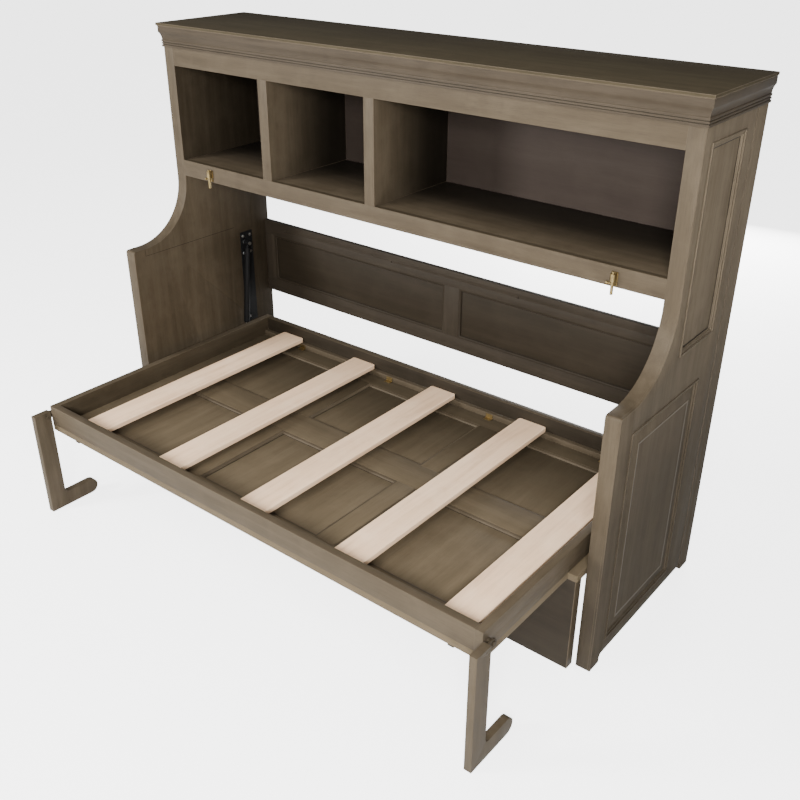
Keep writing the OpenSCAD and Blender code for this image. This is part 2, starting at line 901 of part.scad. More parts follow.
module spring_rod() {
  eye_length = 22;
  start = 4;
  collar = 18;
  inner_end = 28;
  along_spring() difference() {
    union() {
      translate([0, 0, -rest_length]) local_eye(eye_length, eye_r);
      translate([0, 0, start - rest_length]) cylinder(h = collar, r = 8);
      translate([0, 0, start - rest_length]) cylinder(h = rest_length - start - inner_end, r = rod_r);
    }
    translate([0, 0, -rest_length]) local_eye(eye_length + 2, stud_r - 0.5);
  }
}

module spring_cylinder_left() { color(black_steel) placed() handed(false) spring_cylinder(); }
module spring_cylinder_right() { color(black_steel) placed() handed(true) spring_cylinder(); }
module spring_rod_left() { color(bright_steel) placed() handed(false) spring_rod(); }
module spring_rod_right() { color(bright_steel) placed() handed(true) spring_rod(); }

side_core_left();
side_core_right();
side_overlay_left();
side_overlay_right();
side_moulding_left();
side_moulding_right();
side_field_left();
side_field_right();
top_board();
crown_cove();
bead_strip();
hutch_fascia();
hutch_ceiling();
hutch_back();
hutch_shelf();
shelf_apron();
hutch_dividers();
stretcher_top_rail();
stretcher_low_rail();
stretcher_stiles();
stretcher_panels();
pivot_bush_left();
pivot_bush_right();
spring_plates();
spring_plate_bolts();
upper_studs();
latch_plates();
latch_screws();
bed_rail_left();
bed_rail_right();
bed_rail_front();
bed_rail_rear();
face_stile_left();
face_stile_right();
face_rails();
face_mullions();
face_fields();
slat_ledgers();
slats();
corner_brackets();
desk_board();
desk_cleats();
pivot_arm_left();
pivot_arm_right();
pivot_pins();
lower_stud_bosses();
leg_pins();
keepers();
leg_left();
leg_right();
leg_tongue_left();
leg_tongue_right();
leg_bolts_left();
leg_bolts_right();
spring_cylinder_left();
spring_cylinder_right();
spring_rod_left();
spring_rod_right();
latch_bolt_left();
latch_bolt_right();
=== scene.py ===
import json
import math

import bmesh
import bpy
from mathutils import Euler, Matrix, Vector


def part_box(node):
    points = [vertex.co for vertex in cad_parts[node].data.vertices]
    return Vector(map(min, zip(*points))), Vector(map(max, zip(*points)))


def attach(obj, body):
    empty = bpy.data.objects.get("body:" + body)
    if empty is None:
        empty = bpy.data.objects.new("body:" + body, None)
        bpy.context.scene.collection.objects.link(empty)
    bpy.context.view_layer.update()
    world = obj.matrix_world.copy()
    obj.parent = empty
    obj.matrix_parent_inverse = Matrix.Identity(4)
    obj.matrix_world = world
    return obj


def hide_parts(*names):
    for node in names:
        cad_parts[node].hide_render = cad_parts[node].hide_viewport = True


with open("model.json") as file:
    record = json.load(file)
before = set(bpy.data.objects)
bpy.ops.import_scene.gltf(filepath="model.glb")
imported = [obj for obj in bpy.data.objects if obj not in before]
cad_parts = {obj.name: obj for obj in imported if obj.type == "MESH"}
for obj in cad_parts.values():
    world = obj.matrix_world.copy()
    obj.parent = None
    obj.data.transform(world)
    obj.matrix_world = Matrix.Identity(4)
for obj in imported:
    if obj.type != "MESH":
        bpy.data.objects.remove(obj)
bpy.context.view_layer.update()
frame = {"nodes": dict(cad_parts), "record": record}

MM = 0.001
AXES = "xyz"
X, Y, Z = Vector((1, 0, 0)), Vector((0, 1, 0)), Vector((0, 0, 1))

# The wall plane is the back of the part, and places nearer the room have a smaller y.
WALL_Y = max(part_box("hutch_back")[1].y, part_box("stretcher_top_rail")[1].y)
HUTCH_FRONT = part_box("hutch_fascia")[0].y
HUTCH_DEPTH = WALL_Y - HUTCH_FRONT
SHELF_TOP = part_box("hutch_shelf")[1].z

BODY_OF = {n: b for b, nodes in frame["record"]["behaviour"]["bodies"].items() for n in nodes}
SLOT_OF = {p["node"]: p["material_slot"] for p in frame["record"]["subparts"]}


# ---------------------------------------------------------------- shader builder

# The sockets that a Mix node uses for colours.
MIX_FACTOR, MIX_A, MIX_B, MIX_RESULT = 0, 6, 7, 2


class Shader:
    """A small builder of node trees around one Principled BSDF."""

    def __init__(self, name):
        self.material = bpy.data.materials.new(name)
        self.material.use_nodes = True
        self.nodes = self.material.node_tree.nodes
        self.links = self.material.node_tree.links
        self.bsdf = self.nodes["Principled BSDF"]
        self.place = self.add("ShaderNodeTexCoord").outputs["Object"]

    def add(self, kind, **settings):
        node = self.nodes.new(kind)
        for key, value in settings.items():
            setattr(node, key, value)
        return node

    def join(self, source, target):
        self.links.new(source, target)

    def feed(self, value, socket):
        """Join another node's output to the socket, or set the socket's own constant."""
        if isinstance(value, bpy.types.NodeSocket):
            self.join(value, socket)
        else:
            socket.default_value = (*value, 1.0) if isinstance(value, tuple) else value

    def coordinate(self, axis_name):
        """The place along X, Y or Z, in metres."""
        node = self.add("ShaderNodeSeparateXYZ")
        self.join(self.place, node.inputs[0])
        return node.outputs[axis_name]

    def stretched(self, scale, shift=(0, 0, 0)):
        node = self.add("ShaderNodeMapping")
        node.inputs["Scale"].default_value = scale
        node.inputs["Location"].default_value = shift
        self.join(self.place, node.inputs["Vector"])
        return node.outputs["Vector"]

    def noise(self, vector, scale, detail, rough=0.55, distortion=0.0):
        node = self.add("ShaderNodeTexNoise")
        node.inputs["Scale"].default_value = scale
        node.inputs["Detail"].default_value = detail
        node.inputs["Roughness"].default_value = rough
        node.inputs["Distortion"].default_value = distortion
        self.join(vector, node.inputs["Vector"])
        return node.outputs["Fac"]

    def ramp(self, value, stops):
        node = self.add("ShaderNodeValToRGB")
        elements = node.color_ramp.elements
        while len(elements) < len(stops):
            elements.new(0.5)
        for element, (at, tone) in zip(elements, stops):
            element.position = at
            element.color = (*tone, 1.0) if isinstance(tone, tuple) else (tone, tone, tone, 1.0)
        self.join(value, node.inputs["Fac"])
        return node.outputs["Color"]

    def mix(self, factor, a, b, blend="MIX"):
        node = self.add("ShaderNodeMix", data_type="RGBA", blend_type=blend)
        for socket, value in ((MIX_FACTOR, factor), (MIX_A, a), (MIX_B, b)):
            self.feed(value, node.inputs[socket])
        return node.outputs[MIX_RESULT]

    def math(self, operation, *values):
        node = self.add("ShaderNodeMath", operation=operation)
        for socket, value in zip(node.inputs, values):
            self.feed(value, socket)
        return node.outputs[0]

    def span(self, value, low, high, start=0.0, end=1.0, easing="LINEAR"):
        """Low to high, as the value goes from start to end."""
        node = self.add("ShaderNodeMapRange", interpolation_type=easing)
        node.inputs["From Min"].default_value = start
        node.inputs["From Max"].default_value = end
        node.inputs["To Min"].default_value = low
        node.inputs["To Max"].default_value = high
        self.join(value, node.inputs["Value"])
        return node.outputs["Result"]

    def bump(self, height, strength, distance):
        node = self.add("ShaderNodeBump")
        node.inputs["Strength"].default_value = strength
        node.inputs["Distance"].default_value = distance
        self.join(height, node.inputs["Height"])
        self.join(node.outputs["Normal"], self.bsdf.inputs["Normal"])

    def finish(self, colour, rough):
        self.join(colour, self.bsdf.inputs["Base Color"])
        self.join(rough, self.bsdf.inputs["Roughness"])
        return self.material


def along(axis, stretch):
    """A scale of 1 in every direction but 1/stretch of it along the grain."""
    scale = [1.0, 1.0, 1.0]
    scale[AXES.index(axis)] = 1 / stretch
    return scale


# ---------------------------------------------------------------- timber finishes

# How far each feature of the timber is drawn out along the grain, and its noise.
STREAKS = (16, dict(scale=34, detail=6, rough=0.6, distortion=0.3))
CLOUDS = (5, dict(scale=4, detail=3, rough=0.5, distortion=0.6))
PORES = (24, dict(scale=520, detail=3, rough=0.6))
GLAZE = dict(scale=9, detail=6, rough=0.62)
CLOUD_SHIFT = (3.1, 1.7, 0.4)

SEAM_HALF = 0.9 * MM
SEAM_TONE = (0.008, 0.006, 0.004)
SEAM_DEPTH = 0.75


def wood(name, axis, tones, gloss=0.5, worn=0.0, pore=0.22, shine=0.14, seams=(), deepens=()):
    """Stained and wiped timber: long streaks, fine open pores and a cloudy glaze.

    Each seam is a dark line where two boards meet: the two axes it is measured on,
    where it lies, and the middle and half length of it. Where painted shade is given, the colour
    is darkened to stand in for shade: down to a share of its tone, from one place on an axis to
    another.
    """
    dark, middle, light = tones
    s = Shader(name)

    def feature(kind, shift=(0, 0, 0)):
        stretch, settings = kind
        return s.noise(s.stretched(along(axis, stretch), shift), **settings)

    streaks, clouds, pores = feature(STREAKS), feature(CLOUDS, CLOUD_SHIFT), feature(PORES)
    glaze = s.noise(s.place, **GLAZE)
    colour = s.ramp(streaks, [(0.30, dark), (0.50, middle), (0.72, light)])
    colour = s.mix(s.span(clouds, 0.15, 0.75), colour, middle)
    colour = s.mix(s.ramp(glaze, [(0.46, 0.0), (0.72, 0.55)]), colour, light)
    # Lighter toward the light tone: real wear on rubbed edges and slats, and a painted highlight on
    # the edges of the sides' mouldings.
    if worn:
        colour = s.mix(worn, colour, light)
    colour = s.mix(pore, colour, s.ramp(pores, [(0.38, 0.45), (0.50, 1.0)]), "MULTIPLY")
    if seams:
        shade = 0.0
        for (across, at), (lengthwise, middle_at, half) in seams:
            line = s.math("COMPARE", s.coordinate(across), at, SEAM_HALF)
            reach = s.math("COMPARE", s.coordinate(lengthwise), middle_at, half)
            shade = s.math("MAXIMUM", shade, s.math("MULTIPLY", line, reach))
        colour = s.mix(s.math("MULTIPLY", shade, SEAM_DEPTH), colour, SEAM_TONE)
    # Painted shade: the colour darkened along an axis where shade falls.
    for axis_name, share, start, end in deepens:
        fade = s.span(s.coordinate(axis_name), 1, share, start, end, "SMOOTHSTEP")
        colour = s.mix(1.0, colour, fade, "MULTIPLY")
    s.bsdf.inputs["Specular IOR Level"].default_value = shine
    s.bump(s.math("ADD", s.math("MULTIPLY", pores, 0.6), streaks), 0.22, 0.5 * MM)
    return s.finish(colour, s.span(glaze, gloss - 0.06, gloss + 0.14))


# The dark, middle and light tone of each stain. Besides the paint, its lighter copies stand for
# painted light and its darker copies for painted shade; the back board and the slats keep their own
# tones.
PAINT = ((0.047, 0.0350, 0.0215), (0.066, 0.0500, 0.0315), (0.094, 0.0725, 0.048))
# FIELD: a lighter copy of the paint for the bed's face, painted light.
FIELD = ((0.086, 0.0650, 0.0400), (0.108, 0.0825, 0.0510), (0.136, 0.1050, 0.067))
# FLANK: a lighter copy of the paint for the outer sides, painted light.
FLANK = ((0.083, 0.0645, 0.0435), (0.112, 0.0885, 0.0600), (0.150, 0.1195, 0.083))
# CROWN: a darker copy of the paint, painted shade under the top board.
CROWN = ((0.034, 0.0252, 0.0163), (0.047, 0.0355, 0.0232), (0.067, 0.0515, 0.035))
# TOP: a darker copy of the paint, painted shade on the top board where the light grazes it.
TOP = ((0.035, 0.0273, 0.0148), (0.047, 0.0366, 0.0203), (0.062, 0.0490, 0.028))
SHADED = ((0.036, 0.0268, 0.0160), (0.051, 0.0380, 0.0230), (0.071, 0.0545, 0.034))
# The next two are darker copies of the paint: painted shade on the stretcher, the desk board's
# front and the rear rail's front.
DEEP_SHADE = ((0.016, 0.0118, 0.0074), (0.022, 0.0166, 0.0106), (0.030, 0.0230, 0.015))
STRETCHER = ((0.021, 0.0162, 0.0112), (0.029, 0.0226, 0.0157), (0.040, 0.0316, 0.022))
BACK = ((0.030, 0.0218, 0.0172), (0.035, 0.0258, 0.0205), (0.042, 0.0312, 0.025))
PALE = ((0.62, 0.395, 0.238), (0.86, 0.590, 0.375), (0.95, 0.705, 0.485))
# The next tone is near black: painted shade in the bead strip's grooves and at the feet of
# mouldings.
CREASE_SHADE_TONES = ((0.010, 0.008, 0.005), (0.014, 0.011, 0.007), (0.022, 0.017, 0.011))

# Painted shade: where a finish is darkened to stand in for shade, toward the wall in the bed
# and the hutch, toward the floor outside, and at one step where the cabinet's inner sides rise
# above the shelf.
TO_BED_REAR = [("Y", 0.5, WALL_Y - 0.85, WALL_Y - 0.20)]
TO_FLOOR = [("Z", 0.44, 1.35, 0.45)]
DOWN_EDGE = [("Z", 0.55, 0.75, 0.15)]
INTO_HUTCH = [("Y", 0.14, HUTCH_FRONT, WALL_Y - 0.2 * HUTCH_DEPTH)]
ALONG_SHELF = [("Y", 0.17, HUTCH_FRONT, WALL_Y - 0.3 * HUTCH_DEPTH)]
ALONG_SIDE = [("Y", 0.35, HUTCH_FRONT, WALL_Y), ("Z", 0.5, SHELF_TOP - MM, SHELF_TOP)]

# Inside each side a lower board ends in a long level seam and a short upright one.
SEAM_HEIGHT = 877 * MM
SEAM_RISE = 28 * MM
SEAM_REAR, SEAM_FRONT = WALL_Y - 200 * MM, WALL_Y - 666 * MM
SIDE_SEAMS = [
    (("Z", SEAM_HEIGHT), ("Y", (SEAM_REAR + SEAM_FRONT) / 2, (SEAM_REAR - SEAM_FRONT) / 2)),
    (("Y", SEAM_FRONT), ("Z", SEAM_HEIGHT + SEAM_RISE / 2, SEAM_RISE / 2)),
]


def grains(name, tones, **settings):
    """The same finish with its grain along x, y and z."""
    return {a: wood(name + "_" + a, a, tones, **settings) for a in AXES}


PAINTED = grains("painted_wood", PAINT)
RUBBED = grains("rubbed_edge", PAINT, worn=0.6)
# The sides' front edges: painted shade toward the floor.
SHADED_STILES = grains("stile_wood", PAINT, deepens=DOWN_EDGE)
# The outer sides: painted light, with painted shade toward the floor.
LIT_FLANKS = grains("lit_flank_wood", FLANK, gloss=0.62, shine=0.04, deepens=TO_FLOOR)
# The sides' moulding edges: painted highlight on the lit sides' tone, with painted shade toward the
# floor.
FLANK_EDGE_HIGHLIGHTS = grains("flank_edge_highlight", FLANK, worn=0.8, deepens=TO_FLOOR)
# The bed's face: painted light, with painted shadow of the hutch toward the rear.
LIT_BED_FACE = grains("lit_bed_field", FIELD, pore=0.14, shine=0.05, deepens=TO_BED_REAR)
# The crown: painted shade under the top board.
SHADED_CROWN = grains("crown_wood", CROWN)
# The top board: painted shade.
SHADED_TOP = grains("shaded_crown_top", TOP, gloss=0.78)
# A darker copy of the paint, painted shade: on the rear rail, the side rails' inner faces, the desk
# board, the apron's level faces and the shaded slot.
SHADED_WOOD = grains("inner_wood", SHADED)
# The sides' inner faces: real board seams, and painted shade toward the wall and above the shelf.
SHADED_INSIDE = grains("shaded_inner_side", PAINT, shine=0.05, seams=SIDE_SEAMS, deepens=ALONG_SIDE)
# The hutch's ceiling, dividers and shelf: painted shade deeper into the hutch.
HUTCH = grains("hutch_wood", PAINT, deepens=INTO_HUTCH)
SHELF = grains("shelf_wood", PAINT, deepens=ALONG_SHELF)
BACKING = grains("back_board", BACK, gloss=0.62, pore=0.12)
# Painted shade on the stretcher below the hutch, the desk board's front under the bed and the rear
# rail's front.
DUSK = grains("stretcher_wood", DEEP_SHADE, pore=0.16)
SHADED_STRETCHER_FRAME = grains("shaded_stretcher_frame", STRETCHER, pore=0.16)
SLATS = grains("slat_wood", PALE, gloss=0.6, pore=0.1)
WORN_SLATS = grains("slat_edge", PALE, gloss=0.6, worn=0.5, pore=0.08)
# Painted shade in recesses and creases.
RECESS_SHADE = grains("painted_recess_shade", CREASE_SHADE_TONES)


# ---------------------------------------------------------------- metal finishes

BRUSH_LINES = dict(scale=900, detail=3, rough=0.6)
BRUSH_STRETCH = 25
HANDLING_MARKS = dict(scale=60, detail=5, rough=0.65)
MOTTLE = 0.25


def metal(name, tone, rough, metallic=1.0, brush="z"):
    """Brushed, plated or coated metal with faint brush lines and handling marks."""
    s = Shader(name)
    lines = s.noise(s.stretched(along(brush, BRUSH_STRETCH)), **BRUSH_LINES)
    marks = s.noise(s.place, **HANDLING_MARKS)
    darker = tuple(v * (1 - MOTTLE) for v in tone)
    lighter = tuple(min(1.0, v * (1 + MOTTLE)) for v in tone)
    s.bsdf.inputs["Metallic"].default_value = metallic
    s.bsdf.inputs["Specular IOR Level"].default_value = 0.5 if metallic else 0.12
    s.bump(lines, 0.12, 0.2 * MM)
    return s.finish(s.ramp(marks, [(0.3, darker), (0.55, tone), (0.8, lighter)]),
                    s.span(marks, rough - 0.07, rough + 0.12))


BRASS = metal("brushed_brass", (0.30, 0.225, 0.105), 0.42)
OLD_BRASS = metal("tarnished_brass", (0.23, 0.165, 0.070), 0.5)
BRIGHT = metal("zinc_steel", (0.62, 0.62, 0.61), 0.30, brush="x")
BLACK = metal("black_powder_coat", (0.007, 0.007, 0.007), 0.55, metallic=0.0)
BROWN_STEEL = metal("brown_painted_steel", (0.046, 0.035, 0.022), 0.62, metallic=0.0)
METALS = {"brass": BRASS, "bright_steel": BRIGHT, "black_steel": BLACK, "brown_steel": BROWN_STEEL}


# ---------------------------------------------------------------- timber pieces

FOOT_BAR_TOP = 59 * MM
CURVE_ANGLE = 28
# How far the painted shade in the bead strip's grooves stays off its top and bottom edges.
SHADE_MARGIN = 2 * MM


def show(piece, body):
    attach(piece, body)
    return piece


def object_from(bm, name, materials):
    mesh = bpy.data.meshes.new(name)
    bm.to_mesh(mesh)
    bm.free()
    for material in materials:
        mesh.materials.append(material)
    piece = bpy.data.objects.new(name, mesh)
    bpy.context.scene.collection.objects.link(piece)
    return piece


def mesh_of(node):
    """The CAD node's mesh with its corners joined up."""
    bm = bmesh.new()
    bm.from_mesh(frame["nodes"][node].data)
    bmesh.ops.remove_doubles(bm, verts=bm.verts, dist=0.001 * MM)
    return bm


def smooth_curves(piece, angle=CURVE_ANGLE):
    piece.data.shade_smooth()
    piece.data.set_sharp_from_angle(angle=math.radians(angle))


def faces_inward(face):
    return face.normal.x * face.calc_center_median().x < 0 and faces_sideways(face)


def faces_outward(face):
    return face.normal.x * face.calc_center_median().x > 0 and faces_sideways(face)


def faces_sideways(face):
    return abs(face.normal.x) > 0.9


def faces_front(face):
    return face.normal.y < -0.9


def faces_level(face):
    return abs(face.normal.z) > 0.9


def in_groove(face):
    """The floors and walls of the bead strip's two grooves, which get painted shade."""
    middle = face.calc_center_median()
    low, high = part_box("bead_strip")
    inward = min(middle.x - low.x, high.x - middle.x, middle.y - low.y)
    return inward > 0.5 * MM and low.z + SHADE_MARGIN < middle.z < high.z - SHADE_MARGIN


def leg_grain(face):
    return "y" if face.calc_center_median().z < FOOT_BAR_TOP else "z"


def wrap_grain(face):
    return "y" if abs(face.normal.x) > 0.5 else "x"


# The axis that each board's grain runs along, or a function that picks it for a face.
GRAIN = {
    "side_core": "z", "side_overlay": "z", "side_moulding": "z", "side_field": "z",
    "top_board": "x", "crown_cove": wrap_grain, "bead_strip": wrap_grain,
    "hutch_fascia": "x", "hutch_ceiling": "x", "hutch_back": "x", "hutch_shelf": "x",
    "shelf_apron": "x", "hutch_dividers": "z",
    "stretcher_top_rail": "x", "stretcher_low_rail": "x",
    "stretcher_stiles": "z", "stretcher_panels": "x",
    "bed_rail_left": "y", "bed_rail_right": "y", "bed_rail_front": "x", "bed_rail_rear": "x",
    "face_stile": "y", "face_rails": "x", "face_mullions": "y", "face_fields": "y",
    "slat_ledgers": "x", "slats": "y", "desk_board": "x", "desk_cleats": "x",
    "leg": leg_grain,
}

# How far the sharp edges are planed off, in millimetres, where it isn't USUAL_EASE.
USUAL_EASE = 1.4
EASE = {
    "slats": 2.5, "leg": 2.5, "desk_board": 2.0,
    "bed_rail_front": 2.0, "bed_rail_rear": 2.0, "bed_rail_left": 2.0, "bed_rail_right": 2.0,
    "crown_cove": 0.6, "bead_strip": 0.5, "side_moulding": 0.5, "side_field": 0.6,
    "face_fields": 0.3, "stretcher_panels": 0.3,
}

# Faces that meet at less than FLAT are joined, and edges sharper than SHARP are eased. A face
# narrower than WIDEST_EASE times the ease is part of the eased edge.
FLAT, SHARP = math.radians(0.3), math.radians(33)
WIDEST_EASE = 2.2

# The finish of the faces and of the eased edges: by material slot, then by family.
FINISHES = {
    "painted_wood": (PAINTED, RUBBED),
    "painted_wood_shaded": (SHADED_WOOD, SHADED_WOOD),
    "dark_panel": (BACKING, BACKING),
    "pale_slat_wood": (SLATS, WORN_SLATS),
}
# The faces' finishes here are lit or shaded copies of the paint: painted light and painted shade.
SPECIAL = {
    "top_board": (SHADED_TOP, RUBBED),
    "crown_cove": (SHADED_CROWN, RUBBED),
    "bead_strip": (SHADED_CROWN, RUBBED),
    "side_moulding": (LIT_FLANKS, FLANK_EDGE_HIGHLIGHTS),
    "side_field": (LIT_FLANKS, FLANK_EDGE_HIGHLIGHTS),
    "hutch_shelf": (SHELF, SHELF),
    "hutch_ceiling": (HUTCH, HUTCH),
    "stretcher_top_rail": (SHADED_STRETCHER_FRAME, SHADED_STRETCHER_FRAME),
    "stretcher_low_rail": (SHADED_STRETCHER_FRAME, SHADED_STRETCHER_FRAME),
    "stretcher_stiles": (SHADED_STRETCHER_FRAME, SHADED_STRETCHER_FRAME),
    "stretcher_panels": (DUSK, DUSK),
    "face_fields": (LIT_BED_FACE, LIT_BED_FACE),
    "face_rails": (LIT_BED_FACE, LIT_BED_FACE),
    "face_mullions": (LIT_BED_FACE, LIT_BED_FACE),
    "face_stile": (LIT_BED_FACE, LIT_BED_FACE),
    "bed_rail_rear": (SHADED_WOOD, SHADED_WOOD),
    "desk_board": (SHADED_WOOD, RUBBED),
}

# The faces of a board that have another finish than the rest of it.
# These faces get painted shade, except the outer sides, which get painted light; the inner sides
# also carry real seams.
FACES = {
    "side_core": [(SHADED_INSIDE, faces_inward), (LIT_FLANKS, faces_outward), (SHADED_STILES, faces_front)],
    "side_overlay": [(LIT_FLANKS, faces_outward), (SHADED_STILES, faces_front)],
    "hutch_dividers": [(HUTCH, faces_sideways)],
    "shelf_apron": [(SHADED_WOOD, faces_level)],
    "bead_strip": [(RECESS_SHADE, in_groove)],
    "desk_board": [(DUSK, faces_front)],
    "bed_rail_left": [(SHADED_WOOD, faces_inward)],
    "bed_rail_right": [(SHADED_WOOD, faces_inward)],
    "bed_rail_rear": [(DUSK, faces_front)],
}


def family(node):
    """The name shared by a left and right pair, or the node's own name."""
    stem = node.rsplit("_", 1)[0]
    return node if node in GRAIN or stem not in GRAIN else stem


def eased(node):
    """The CAD board with its sharp edges planed off, and the grain laid along each face.

    Its materials come in threes, for grain along x, y and z: the faces' finish, the
    eased edges' finish, then those of any special faces.
    """
    kind = family(node)
    grain, ease = GRAIN[kind], EASE.get(kind, USUAL_EASE) * MM
    other_faces = FACES.get(kind, [])
    bm = mesh_of(node)
    bmesh.ops.dissolve_limit(bm, angle_limit=FLAT, verts=bm.verts, edges=bm.edges)
    for face in bm.faces:
        face.material_index = AXES.index(grain(face) if callable(grain) else grain)
        for i, (finish, is_one) in enumerate(other_faces):
            if is_one(face):
                face.material_index += (2 + i) * len(AXES)
    sharp = [e for e in bm.edges if e.is_manifold and e.calc_face_angle() > SHARP]
    made = bmesh.ops.bevel(bm, geom=sharp, offset=ease, segments=2, profile=0.6,
                           affect="EDGES", clamp_overlap=True, offset_type="OFFSET")
    for face in made["faces"]:
        narrowest = min(e.calc_length() for e in face.edges)
        if face.calc_area() > 0 and narrowest < WIDEST_EASE * ease:
            face.material_index = face.material_index % len(AXES) + len(AXES)
    finishes = [*SPECIAL.get(kind, FINISHES[SLOT_OF[node]])]
    finishes += [finish for finish, is_one in other_faces]
    piece = object_from(bm, node + "_wood", [finish[a] for finish in finishes for a in AXES])
    smooth_curves(piece)
    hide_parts(node)
    return show(piece, BODY_OF[node])


for node in sorted(frame["nodes"]):
    if SLOT_OF[node] in METALS:
        mesh = frame["nodes"][node].data
        mesh.materials.clear()
        mesh.materials.append(OLD_BRASS if node == "corner_brackets" else METALS[SLOT_OF[node]])
    else:
        eased(node)


# ---------------------------------------------------------------- mouldings and painted shade lines

# Widths of the stuck mouldings, and how far each stays below the face beside it.
FIELD_OVOLO, FIELD_DROP = 11 * MM, 1.5 * MM
UNDER_OVOLO, UNDER_DROP = 7 * MM, 1 * MM
STRETCHER_OVOLO, STRETCHER_DROP = 10 * MM, 1 * MM

# The strip of painted shade at a moulding's inner foot: its width, and how far it rises above the
# foot.
SHADE_STRIP_WIDTH, SHADE_STRIP_RISE = 2.2 * MM, 0.4 * MM
MOULDING_WIDTH = 18 * MM
FIELD_BEVEL = 33 * MM

# Profiles from the outside in: distance in from the edge, and height.
# The first profile is a low flat ring that carries only painted shade.
SHADE_STRIP_RING = [(0, 0), (0, 0.6 * MM), (1.6 * MM, 0.6 * MM), (1.6 * MM, 0)]
FIELD_STEP = [(0, -1.6 * MM), (0, 0.2 * MM), (0.8 * MM, 0.9 * MM), (5 * MM, 0.9 * MM),
              (8 * MM, -0.1 * MM), (8 * MM, -1.6 * MM)]


def mitred_ring(name, body, corner, along_u, along_v, size, profile, finish):
    """A moulding inside a rectangle, with a narrow strip of painted shade along its inner foot."""
    foot, level = profile[-1]
    top = level + SHADE_STRIP_RISE
    profile = profile[:-1] + [(foot, top), (foot + SHADE_STRIP_WIDTH, top), (foot + SHADE_STRIP_WIDTH, level)]
    # The painted shade shows from this corner of the profile to the next.
    shaded_step = len(profile) - 3
    up = along_u.cross(along_v)
    bm = bmesh.new()
    rings = []
    for inset, height in profile:
        spots = [(inset, inset), (size[0] - inset, inset),
                 (size[0] - inset, size[1] - inset), (inset, size[1] - inset)]
        rings.append([bm.verts.new(corner + along_u * u + along_v * v + up * height)
                      for u, v in spots])
    for i, ring in enumerate(rings):
        inner = rings[(i + 1) % len(rings)]
        for k in range(4):
            face = bm.faces.new([ring[k], ring[(k + 1) % 4], inner[(k + 1) % 4], inner[k]])
            axis = along_u if k % 2 == 0 else along_v
            grain = max(range(3), key=lambda j: abs(axis[j]))
            face.material_index = grain + (len(AXES) if i == shaded_step else 0)
    piece = object_from(bm, name, [kind[a] for kind in (finish, RECESS_SHADE) for a in AXES])
    smooth_curves(piece, angle=40)
    return show(piece, body)


def ovolo(width, height, steps=5):
    """A flat fillet at the edge, then a quarter hollow falling to the panel."""
    fillet = 0.25 * width
    curve = [(fillet + (width - fillet) * math.sin(t), height * (1 - 0.9 * (1 - math.cos(t))))
             for t in (math.pi / 2 * i / steps for i in range(steps + 1))]
    return [(0, 0), (0, height)] + curve + [(width, 0)]


def islands(node):
    """The lowest and highest corner of each separate board in a CAD node."""
    bm = mesh_of(node)
    remaining = set(bm.verts)
    boxes = []
    while remaining:
        grown, edge = set(), [remaining.pop()]
        while edge:
            vert = edge.pop()
            grown.add(vert)
            near = [e.other_vert(vert) for e in vert.link_edges]
            edge += [v for v in near if v in remaining]
            remaining -= set(near)
        spots = [v.co for v in grown]
        boxes.append(tuple(Vector([pick(c[i] for c in spots) for i in range(3)])
                           for pick in (min, max)))
    bm.free()
    return sorted(boxes, key=lambda b: (round(b[0].y, 3), round(b[0].x, 3)))


def panel_mouldings():
    """The stuck mouldings round the bed's recessed panels, above and below, and the stretcher's."""
    face_low, face_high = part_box("face_rails")[0].z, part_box("face_rails")[1].z
    for i, (low, high) in enumerate(islands("face_fields")):
        size = (high.x - low.x, high.y - low.y)
        top = ovolo(FIELD_OVOLO, face_high - high.z - FIELD_DROP)
        corner = Vector((low.x, low.y, high.z))
        mitred_ring(f"field_moulding_top_{i}", "bed", corner, X, Y, size, top, PAINTED)
        under = ovolo(UNDER_OVOLO, low.z - face_low - UNDER_DROP)
        corner = Vector((low.x, high.y, low.z))
        mitred_ring(f"field_moulding_under_{i}", "bed", corner, X, -Y, size, under, PAINTED)
    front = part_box("stretcher_top_rail")[0].y
    for i, (low, high) in enumerate(islands("stretcher_panels")):
        size = (high.x - low.x, high.z - low.z)
        edge = ovolo(STRETCHER_OVOLO, low.y - front - STRETCHER_DROP)
        mitred_ring(f"stretcher_moulding_{i}", "cabinet", low.copy(), X, Z, size, edge, DUSK)


def side_ring(name, box, turn, level, inset, profile, finish):
    """A ring inside a box on the cabinet's side, where turn is 1 on the right, -1 on the left."""
    low, high = box
    start = low.y if turn > 0 else high.y
    corner = Vector((level, start, low.z)) + (Y * turn + Z) * inset
    size = (high.y - low.y - 2 * inset, high.z - low.z - 2 * inset)
    mitred_ring(name, "cabinet", corner, Y * turn, Z, size, profile, finish)


def raised_fields():
    """A ring of painted shade inside each side moulding, and the step at the top of the field's
    bevel with a painted highlight.
    """
    for side, turn in (("left", -1), ("right", 1)):
        for i, (low, high) in enumerate(islands("side_moulding_" + side)):
            foot = low.x if turn > 0 else high.x
            name = f"side_shade_strip_{side}_{i}"
            side_ring(name, (low, high), turn, foot, MOULDING_WIDTH, SHADE_STRIP_RING, RECESS_SHADE)
        low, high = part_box("side_field_" + side)
        top = high.x if turn > 0 else low.x
        name = "side_field_step_" + side
        side_ring(name, (low, high), turn, top, FIELD_BEVEL, FIELD_STEP, FLANK_EDGE_HIGHLIGHTS)


panel_mouldings()
raised_fields()


# ---------------------------------------------------------------- bracket screws

HEAD_RADIUS = 2.6 * MM
HEAD_RINGS, HEAD_SIDES = 5, 20
HEAD_RISE = 0.38
DIMPLE = 0.55


